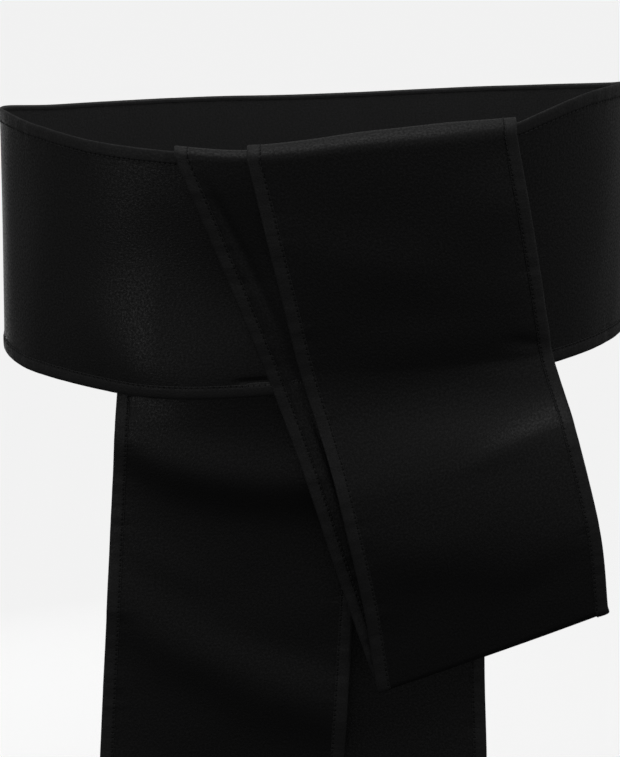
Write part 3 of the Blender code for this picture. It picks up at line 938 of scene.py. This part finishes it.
def weave_group():
    """Satin weave, from UVs in metres: floats along the strip, a fine grain, and slow unevenness of the gloss."""
    group = bpy.data.node_groups.new("satin_weave", "ShaderNodeTree")
    group.interface.new_socket("Vector", in_out="INPUT", socket_type="NodeSocketVector")
    for name, default in (("Float Width", 0.0007), ("Float Length", 0.0012), ("Grain Size", 0.00095)):
        socket = group.interface.new_socket(name, in_out="INPUT", socket_type="NodeSocketFloat")
        socket.default_value = default
    for name in ("Height", "Grain", "Patches"):
        group.interface.new_socket(name, in_out="OUTPUT", socket_type="NodeSocketFloat")
    nodes = group.nodes
    links = group.links
    given = nodes.new("NodeGroupInput")
    result = nodes.new("NodeGroupOutput")
    split = nodes.new("ShaderNodeSeparateXYZ")
    links.new(given.outputs["Vector"], split.inputs[0])
    across = nodes.new("ShaderNodeMath")
    across.operation = "DIVIDE"
    links.new(split.outputs["X"], across.inputs[0])
    links.new(given.outputs["Float Width"], across.inputs[1])
    along = nodes.new("ShaderNodeMath")
    along.operation = "DIVIDE"
    links.new(split.outputs["Y"], along.inputs[0])
    links.new(given.outputs["Float Length"], along.inputs[1])
    floats_at = nodes.new("ShaderNodeCombineXYZ")
    links.new(across.outputs[0], floats_at.inputs["X"])
    links.new(along.outputs[0], floats_at.inputs["Y"])
    floats = nodes.new("ShaderNodeTexNoise")
    floats.inputs["Scale"].default_value = 1.0
    floats.inputs["Detail"].default_value = 2.0
    links.new(floats_at.outputs[0], floats.inputs["Vector"])
    links.new(floats.outputs["Fac"], result.inputs["Height"])
    grain_at = nodes.new("ShaderNodeVectorMath")
    grain_at.operation = "DIVIDE"
    links.new(given.outputs["Vector"], grain_at.inputs[0])
    links.new(given.outputs["Grain Size"], grain_at.inputs[1])
    grain = nodes.new("ShaderNodeTexNoise")
    grain.inputs["Scale"].default_value = 1.0
    grain.inputs["Detail"].default_value = 2.0
    grain.inputs["Roughness"].default_value = 0.7
    links.new(grain_at.outputs[0], grain.inputs["Vector"])
    links.new(grain.outputs["Fac"], result.inputs["Grain"])
    patches = nodes.new("ShaderNodeTexNoise")
    patches.inputs["Scale"].default_value = 28.0
    patches.inputs["Detail"].default_value = 3.0
    links.new(given.outputs["Vector"], patches.inputs["Vector"])
    links.new(patches.outputs["Fac"], result.inputs["Patches"])
    return group


def spread(nodes, links, source, low, high):
    """A Map Range node from 0..1 noise, whose middle third carries most of it, to low..high."""
    node = nodes.new("ShaderNodeMapRange")
    node.inputs["From Min"].default_value = 0.3
    node.inputs["From Max"].default_value = 0.7
    node.inputs["To Min"].default_value = low
    node.inputs["To Max"].default_value = high
    links.new(source, node.inputs["Value"])
    return node.outputs["Result"]


def node_math(nodes, links, operation, first, second=None):
    """A Math node. first and second are sockets or numbers."""
    node = nodes.new("ShaderNodeMath")
    node.operation = operation
    for socket, value in zip(node.inputs, (first, second)):
        if hasattr(value, "is_output"):
            links.new(value, socket)
        elif value is not None:
            socket.default_value = value
    return node.outputs[0]


def node_range(nodes, links, source, start, end, low, high):
    node = nodes.new("ShaderNodeMapRange")
    for name, value in (("From Min", start), ("From Max", end), ("To Min", low), ("To Max", high)):
        node.inputs[name].default_value = value
    links.new(source, node.inputs["Value"])
    return node.outputs["Result"]


def needle_holes(nodes, links, uv, cloth):
    """1 in a small round at each end of a topstitch, 0 elsewhere: where the satin gets painted shade for the hole, a
    rougher gloss and a dent. UVs are metres in from the edge and along it.
    """
    split = nodes.new("ShaderNodeSeparateXYZ")
    links.new(uv, split.inputs[0])
    turns = node_math(nodes, links, "DIVIDE", split.outputs["Y"], cloth.stitch_pitch)
    from_middle = node_math(nodes, links, "ABSOLUTE", node_math(
        nodes, links, "SUBTRACT", node_math(nodes, links, "FRACT", turns), 0.5
    ))
    along = node_range(nodes, links, from_middle, *HOLE_ALONG, 0.0, 1.0)
    inset = node_math(nodes, links, "SUBTRACT", split.outputs["X"], STITCH_INSET * cloth.binding_width)
    across = node_range(nodes, links, node_math(nodes, links, "ABSOLUTE", inset), *HOLE_ACROSS, 1.0, 0.0)
    return node_math(nodes, links, "MULTIPLY", node_math(nodes, links, "MULTIPLY", along, across), HOLE_SHADE)


def satin_material(name, colour, flecks, roughness, depth, weave, float_length, sheen, glints, stitched=None):
    """Satin: its weave raises the floats, and the grain varies its gloss and its colour a little.

    stitched holds the cloth settings where topstitching pierces it. Each needle hole then gets painted shade, its
    colour drawn toward black, with a rougher gloss and a dent.
    """
    material = bpy.data.materials.new(name)
    material.use_nodes = True
    nodes = material.node_tree.nodes
    links = material.node_tree.links
    shader = nodes["Principled BSDF"]
    uv = nodes.new("ShaderNodeUVMap")
    uv.uv_map = UV_NAME
    cloth = nodes.new("ShaderNodeGroup")
    cloth.node_tree = weave
    cloth.inputs["Float Length"].default_value = float_length
    links.new(uv.outputs["UV"], cloth.inputs["Vector"])
    bump = nodes.new("ShaderNodeBump")
    bump.inputs["Distance"].default_value = depth
    bump.inputs["Strength"].default_value = 1.0
    height = nodes.new("ShaderNodeMath")
    height.operation = "MULTIPLY_ADD"
    height.inputs[1].default_value = GRAIN_SHARE
    links.new(cloth.outputs["Grain"], height.inputs[0])
    links.new(cloth.outputs["Height"], height.inputs[2])
    links.new(height.outputs[0], bump.inputs["Height"])
    links.new(bump.outputs["Normal"], shader.inputs["Normal"])
    gloss = nodes.new("ShaderNodeMath")
    gloss.operation = "ADD"
    links.new(spread(nodes, links, cloth.outputs["Grain"], roughness + 0.16, roughness - 0.16), gloss.inputs[0])
    links.new(spread(nodes, links, cloth.outputs["Patches"], -0.03, 0.03), gloss.inputs[1])
    links.new(gloss.outputs[0], shader.inputs["Roughness"])
    tint = nodes.new("ShaderNodeMix")
    tint.data_type = "RGBA"
    dark, light = (tint.inputs[i] for i in (6, 7))
    dark.default_value = (*[flecks[0] * c for c in colour], 1)
    light.default_value = (*[flecks[1] * c for c in colour], 1)
    links.new(spread(nodes, links, cloth.outputs["Grain"], 0.0, 1.0), tint.inputs["Factor"])
    # Needle holes: painted shade, the colour mixed toward black in each hole, plus a rougher gloss and a dent
    if stitched:
        hole = needle_holes(nodes, links, uv.outputs["UV"], stitched)
        painted_hole_shade = nodes.new("ShaderNodeMix")
        painted_hole_shade.data_type = "RGBA"
        links.new(hole, painted_hole_shade.inputs["Factor"])
        links.new(tint.outputs[2], painted_hole_shade.inputs[6])
        painted_hole_shade.inputs[7].default_value = (0, 0, 0, 1)
        links.new(painted_hole_shade.outputs[2], shader.inputs["Base Color"])
        links.new(node_math(nodes, links, "MAXIMUM", gloss.outputs[0], hole), shader.inputs["Roughness"])
        deep = node_math(nodes, links, "MULTIPLY_ADD", hole, -HOLE_DEPTH / depth)
        links.new(height.outputs[0], deep.node.inputs[2])
        links.new(deep, bump.inputs["Height"])
    else:
        links.new(tint.outputs[2], shader.inputs["Base Color"])
    links.new(node_range(nodes, links, cloth.outputs["Grain"], *GLINT_RANGE, 0.0, glints), shader.inputs["Coat Weight"])
    shader.inputs["Coat Roughness"].default_value = 0.8 * roughness
    shader.inputs["Metallic"].default_value = 0.0
    shader.inputs["Specular IOR Level"].default_value = 0.5 * (1 - glints / 4)
    shader.inputs["Sheen Weight"].default_value = sheen
    shader.inputs["Sheen Roughness"].default_value = 0.4
    return material


def thread_material(colour):
    """Spun thread: fine twist lines round each stitch."""
    material = bpy.data.materials.new("sash_thread")
    material.use_nodes = True
    nodes = material.node_tree.nodes
    links = material.node_tree.links
    shader = nodes["Principled BSDF"]
    uv = nodes.new("ShaderNodeUVMap")
    uv.uv_map = UV_NAME
    twist = nodes.new("ShaderNodeTexWave")
    twist.inputs["Scale"].default_value = 1400.0
    links.new(uv.outputs["UV"], twist.inputs["Vector"])
    links.new(spread(nodes, links, twist.outputs["Fac"], 0.45, 0.6), shader.inputs["Roughness"])
    bump = nodes.new("ShaderNodeBump")
    bump.inputs["Distance"].default_value = 0.00003
    links.new(twist.outputs["Fac"], bump.inputs["Height"])
    links.new(bump.outputs["Normal"], shader.inputs["Normal"])
    shader.inputs["Base Color"].default_value = (*colour, 1)
    shader.inputs["Specular IOR Level"].default_value = 0.3
    return material


FINISH_NAMES = ("sash_panel_satin", "sash_reverse_satin", "sash_binding_satin", "sash_thread")


def finishes(context):
    """The materials, made once: the panels' satin, its reverse, the bindings' satin and the thread."""
    made = bpy.data.materials
    settings = context.scene.sash_finish
    if "sash_thread" in made:
        return tuple(made[name] for name in FINISH_NAMES)
    weave = weave_group()
    depth = settings.weave_depth
    panel = satin_material(
        "sash_panel_satin", settings.satin_colour, FACE_FLECKS, settings.satin_roughness, depth, weave, 0.0012, 0.02, 0.55
    )
    reverse = satin_material(
        "sash_reverse_satin", settings.reverse_colour, DULL_FLECKS, 0.6, depth, weave, 0.0012, 0.02, 0.2
    )
    cloth = context.scene.sash_cloth
    # The bindings' lighter colour is painted highlight, for the light their rounded folds catch
    edge = satin_material(
        "sash_binding_satin", settings.binding_colour_with_painted_highlight, DULL_FLECKS, 0.48, depth, weave, 0.0008, 0.03, 0.3, cloth
    )
    return panel, reverse, edge, thread_material(settings.thread_colour)


def pressed(strip):
    """How much thinner a leaf's binding is where it is pulled over the top fold."""

    def growth(run):
        down = np.interp(run, strip.run, strip.along)
        return -0.42 * (1 - ease(down, 0.0, 0.07))

    return growth


def add_strip(context, label, strip, edges, end_edge=False, thicker=None):
    """A panel with its bindings and stitching, each standing for its node. end_edge: whether the strip's far end is
    bound too, with the panel and side bindings stopping short of it.
    """
    cloth = context.scene.sash_cloth
    satin, reverse, binding, thread = finishes(context)
    first = 0.0
    last = strip.length
    panel_last = last if not end_edge else strip.length - 0.25 * cloth.binding_width
    panel = add_panel(label + "_satin", strip, first, panel_last, cloth, satin, reverse)
    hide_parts(label)
    seams = []
    for edge in edges:
        end = last if not end_edge else strip.length - 0.7 * cloth.binding_width
        piece = add_binding(f"{label}_{edge}_edge", strip, edge, first, end, cloth, binding, thicker)
        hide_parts(f"{label}_{edge}_binding")
        stop = last if not end_edge else strip.length - 1.15 * cloth.binding_width
        seams.append((strip, edge, first + cloth.stitch_pitch, stop, BOTH_FACES))
    if end_edge:
        width = (0.05 * MM, SASH_WIDTH - 0.05 * MM)
        piece = add_binding(f"{label}_end_edge", strip, "end", *width, cloth, binding, lambda run: 0.14 + 0 * run)
        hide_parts(f"{label}_end_binding")
        seams.append((strip, "end", 2 * MM, SASH_WIDTH - 2 * MM, BOTH_FACES))
    add_stitching(label + "_stitching", seams, cloth, thread)
    return panel


class SASH_OT_add_waist(bpy.types.Operator):
    """Adds the stretch that goes round the wearer, with a binding along its top and bottom edges"""

    bl_idname = "sash.add_waist"
    bl_label = "Add Waist Stretch"

    def execute(self, context):
        cloth = context.scene.sash_cloth
        satin, reverse, binding, thread = finishes(context)
        gap = np.degrees(SEAM_GAP / 2 / WAIST_HALF_WIDTH)
        start = WAIST_SEAM_BEARING + gap
        strip = Strip(waist_surface, start, WAIST_SEAM_BEARING + 360 - gap, WAIST_CREASES, 0.0, cloth)
        panel = add_panel("waist_band_satin", strip, 0.0, strip.length, cloth, satin, reverse)
        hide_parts("waist_band")
        join = np.interp(360 - 11.5, strip.along, strip.run)
        lap = lambda run: 0.28 * ease(run, join, join + 0.9 * MM)
        bottom = add_binding("waist_bottom_edge", strip, "left", 0.0, strip.length, cloth, binding, lap)
        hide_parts("waist_bottom_binding")
        top = add_binding("waist_top_edge", strip, "right", 0.0, strip.length, cloth, binding, None, reverse)
        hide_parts("waist_top_binding")
        seams = [(strip, "left", 0.0, strip.length, BOTH_FACES), (strip, "right", 0.0, strip.length, OUTER_FACE)]
        stitching = add_stitching("waist_stitching", seams, cloth, thread)
        return {"FINISHED"}


class SASH_OT_add_loop(bpy.types.Operator):
    """Adds the loop of the half bow: its under leaf and its top leaf, each with two bindings"""

    bl_idname = "sash.add_loop"
    bl_label = "Add Loop"

    def execute(self, context):
        cloth = context.scene.sash_cloth
        under = Strip(under_leaf_surface, -1.0, 1.0, UNDER_LEAF_CREASES, 0.21, cloth, 1.3, calm_at_folds)
        top = Strip(top_leaf_surface, -1.0, 2.0, TOP_LEAF_CREASES, 0.43, cloth, 1.0, calm_at_folds)
        edges = ("left", "right")
        add_strip(context, "loop_under_leaf", under, edges, False, pressed(under))
        add_strip(context, "loop_top_leaf", top, edges, False, pressed(top))
        return {"FINISHED"}


class SASH_OT_add_tails(bpy.types.Operator):
    """Adds the two tails that hang from the knot, each bound along its sides and its end"""

    bl_idname = "sash.add_tails"
    bl_label = "Add Tails"

    def execute(self, context):
        cloth = context.scene.sash_cloth
        front_surface = tail_surface(
            FRONT_TAIL_INNER, FRONT_TAIL_HANG, FRONT_TAIL_DROP, 1, first_layer, FRONT_TAIL_WAVES
        )
        back_surface = tail_surface(
            BACK_TAIL_INNER, BACK_TAIL_HANG, BACK_TAIL_DROP, 2, top_leaf_inner_layer, BACK_TAIL_WAVES
        )
        front = Strip(front_surface, 0.0, 2.0, FRONT_TAIL_CREASES, 0.67, cloth)
        back = Strip(back_surface, 0.0, 2.0, BACK_TAIL_CREASES, 0.89, cloth)
        edges = ("left", "right")
        add_strip(context, "front_tail", front, edges, end_edge=True)
        add_strip(context, "back_tail", back, edges, end_edge=True)
        return {"FINISHED"}


class SASH_OT_add_stage(bpy.types.Operator):
    """Adds a plain pale floor that sweeps up behind, soft studio lights and the camera"""

    bl_idname = "sash.add_stage"
    bl_label = "Add Stage"

    def execute(self, context):
        stage = context.scene.sash_stage
        add_floor(stage)
        add_lights()
        add_camera(context.scene, stage)
        add_surround(context.scene)
        context.scene.view_settings.view_transform = "Standard"
        return {"FINISHED"}


def add_floor(stage):
    """A floor that turns up into a wall far behind, in one smooth sheet: flat, a quarter circle, upright."""
    half = 12.0
    turn = np.linspace(0, np.pi / 2, 24)
    radius = 2.0
    back = 9.0
    y = np.concatenate([[-6.0], back + radius * np.sin(turn), [back + radius]])
    z = np.concatenate([[0.0], radius * (1 - np.cos(turn)), [8.0]]) + stage.floor_height
    x = np.array([-half, half])
    profile = np.stack(np.broadcast_arrays(x[None, :], y[:, None], z[:, None]), axis=-1)
    mesh = bpy.data.meshes.new("floor")
    mesh.from_pydata(profile.reshape(-1, 3), [], grid_faces(len(y), 2, flip=True).tolist())
    mesh.shade_smooth()
    material = bpy.data.materials.new("pale_floor")
    material.use_nodes = True
    shader = material.node_tree.nodes["Principled BSDF"]
    shader.inputs["Base Color"].default_value = (*stage.floor_colour, 1)
    shader.inputs["Roughness"].default_value = 0.9
    shader.inputs["Emission Color"].default_value = (1, 1, 1, 1)
    shader.inputs["Emission Strength"].default_value = stage.floor_glow
    mesh.materials.append(material)
    floor = bpy.data.objects.new("floor", mesh)
    floor.visible_glossy = False
    floor.visible_diffuse = False
    bpy.context.scene.collection.objects.link(floor)


# Brightness of the studio's walls and ceiling by height: the sine of the elevation, and the light from there
SurroundRow = namedtuple("SurroundRow", "height light")
SURROUND = [
    SurroundRow(-1.0, 0.015),
    SurroundRow(-0.6, 0.03),
    SurroundRow(-0.45, 0.062),
    SurroundRow(-0.31, 0.105),
    SurroundRow(-0.1, 0.155),
    SurroundRow(0.1, 0.195),
    SurroundRow(0.7, 0.22),
    SurroundRow(0.88, 0.55),
    SurroundRow(1.0, 0.80),
]
SURROUND_LEFT = 0.76
SURROUND_RIGHT = 0.83


def add_surround(scene):
    """Even light from all round, dim at the floor and brighter overhead."""
    world = bpy.data.worlds.new("studio")
    scene.world = world
    world.use_nodes = True
    nodes = world.node_tree.nodes
    links = world.node_tree.links
    direction = nodes.new("ShaderNodeTexCoord")
    split = nodes.new("ShaderNodeSeparateXYZ")
    links.new(direction.outputs["Generated"], split.inputs[0])
    height = nodes.new("ShaderNodeMapRange")
    height.inputs["From Min"].default_value = -1.0
    links.new(split.outputs["Z"], height.inputs["Value"])
    ramp = nodes.new("ShaderNodeValToRGB")
    stops = ramp.color_ramp.elements
    while len(stops) < len(SURROUND):
        stops.new(0.5)
    for stop, row in zip(stops, SURROUND):
        stop.position = (row.height + 1) / 2
        stop.color = (row.light, row.light, row.light, 1)
    links.new(height.outputs["Result"], ramp.inputs["Fac"])
    links.new(ramp.outputs["Color"], nodes["Background"].inputs["Color"])
    side = nodes.new("ShaderNodeMapRange")
    side.inputs["From Min"].default_value = -1.0
    side.inputs["To Min"].default_value = SURROUND_LEFT
    side.inputs["To Max"].default_value = SURROUND_RIGHT
    links.new(split.outputs["X"], side.inputs["Value"])
    links.new(side.outputs["Result"], nodes["Background"].inputs["Strength"])


LightRow = namedtuple("LightRow", "name x y z width height power")
LIGHTS = [
    LightRow("overhead", 0.0, -1.1, 1.9, 2.2, 1.6, 1.5),
    LightRow("left_front", -1.08, -0.96, -0.10, 0.5, 0.3, 0.28),
    LightRow("left_back", -0.38, 1.05, -0.27, 0.6, 0.4, 0.46),
]


def add_lights():
    """Soft boxes that face the sash."""
    for row in LIGHTS:
        light = bpy.data.lights.new(row.name, "AREA")
        light.shape = "RECTANGLE"
        light.size = row.width
        light.size_y = row.height
        light.energy = row.power
        lamp = bpy.data.objects.new(row.name, light)
        lamp.location = (row.x, row.y, row.z)
        lamp.rotation_euler = (-lamp.location).to_track_quat("-Z", "Y").to_euler()
        lamp.visible_camera = False
        bpy.context.scene.collection.objects.link(lamp)


def add_camera(scene, stage):
    data = bpy.data.cameras.new("camera")
    data.sensor_width = 36.0
    data.lens = stage.lens
    data.clip_start = 0.01
    data.clip_end = 100.0
    camera = bpy.data.objects.new("camera", data)
    camera.location = stage.camera_place
    camera.rotation_euler = (np.pi / 2 - stage.camera_dip, 0, 0)
    scene.collection.objects.link(camera)
    scene.camera = camera


class SASH_PT_panel(bpy.types.Panel):
    """Lists the sash's pieces and their settings"""

    bl_label = "Satin Sash"
    bl_idname = "SASH_PT_panel"
    bl_space_type = "VIEW_3D"
    bl_region_type = "UI"
    bl_category = "Sash"

    def draw(self, context):
        layout = self.layout
        for kind in OPERATORS:
            layout.operator(kind.bl_idname)
        for name in ("sash_cloth", "sash_finish", "sash_stage"):
            settings = getattr(context.scene, name)
            box = layout.box()
            for prop in settings.__annotations__:
                box.prop(settings, prop)


GROUPS = {"sash_cloth": SashClothSettings, "sash_finish": SashFinishSettings, "sash_stage": SashStageSettings}
OPERATORS = (SASH_OT_add_waist, SASH_OT_add_loop, SASH_OT_add_tails, SASH_OT_add_stage)


def register():
    for kind in (*GROUPS.values(), *OPERATORS, SASH_PT_panel):
        bpy.utils.register_class(kind)
    for name, kind in GROUPS.items():
        setattr(bpy.types.Scene, name, bpy.props.PointerProperty(type=kind))


def unregister():
    for name in GROUPS:
        delattr(bpy.types.Scene, name)
    for kind in (SASH_PT_panel, *OPERATORS[::-1], *GROUPS.values()):
        bpy.utils.unregister_class(kind)


def main():
    register()
    bpy.ops.sash.add_waist()
    bpy.ops.sash.add_loop()
    bpy.ops.sash.add_tails()
    bpy.ops.sash.add_stage()


if __name__ == "__main__":
    main()
